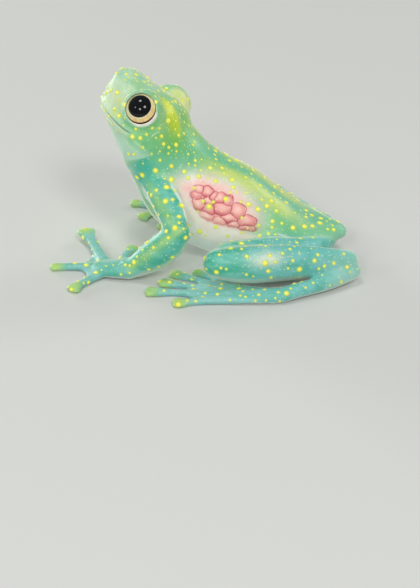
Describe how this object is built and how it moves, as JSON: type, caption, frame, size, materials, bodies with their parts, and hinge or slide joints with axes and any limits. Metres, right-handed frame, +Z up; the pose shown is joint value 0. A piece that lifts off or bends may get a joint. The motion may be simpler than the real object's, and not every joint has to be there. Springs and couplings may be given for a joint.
{
  "type": "granular glass frog",
  "caption": "Life-size still model of a glass frog sitting with its chest raised on its arms, head turned up and hind legs folded.",
  "frame": {"origin": "middle of the ground that the frog covers, under the belly, at the level of its flats", "axes": "+Z up; the frog faces -X, its left side faces -Y"},
  "size_m": [0.0318, 0.0318, 0.0187],
  "materials": {
    "back_skin": "moist satin skin, teal green with raised yellow spots, translucent flank",
    "head_skin": "moist satin skin, pale mint with raised yellow spots",
    "throat_skin": "moist satin skin, pale mint",
    "limb_skin": "moist glossy skin, turquoise with yellow spots",
    "digit_skin": "moist satin skin, yellow-green pads",
    "eye": "wet glossy eye, black pupil in a gold iris"
  },
  "bodies": {
    "root": {"torso": "back_skin", "head": "head_skin", "lower_jaw": "throat_skin", "eye_left": "eye", "eye_right": "eye", "upper_arm_left": "limb_skin", "forearm_left": "limb_skin", "hand_left": "limb_skin", "finger_left_1": "digit_skin", "finger_left_2": "digit_skin", "finger_left_3": "digit_skin", "finger_left_4": "digit_skin", "thigh_left": "limb_skin", "shank_left": "limb_skin", "tarsus_left": "limb_skin", "foot_left": "limb_skin", "toe_left_1": "digit_skin", "toe_left_2": "digit_skin", "toe_left_3": "digit_skin", "toe_left_4": "digit_skin", "toe_left_5": "digit_skin", "upper_arm_right": "limb_skin", "forearm_right": "limb_skin", "hand_right": "limb_skin", "finger_right_1": "digit_skin", "finger_right_2": "digit_skin", "finger_right_3": "digit_skin", "finger_right_4": "digit_skin", "thigh_right": "limb_skin", "shank_right": "limb_skin", "tarsus_right": "limb_skin", "foot_right": "limb_skin", "toe_right_1": "digit_skin", "toe_right_2": "digit_skin", "toe_right_3": "digit_skin", "toe_right_4": "digit_skin", "toe_right_5": "digit_skin"}
  },
  "joints": []
}
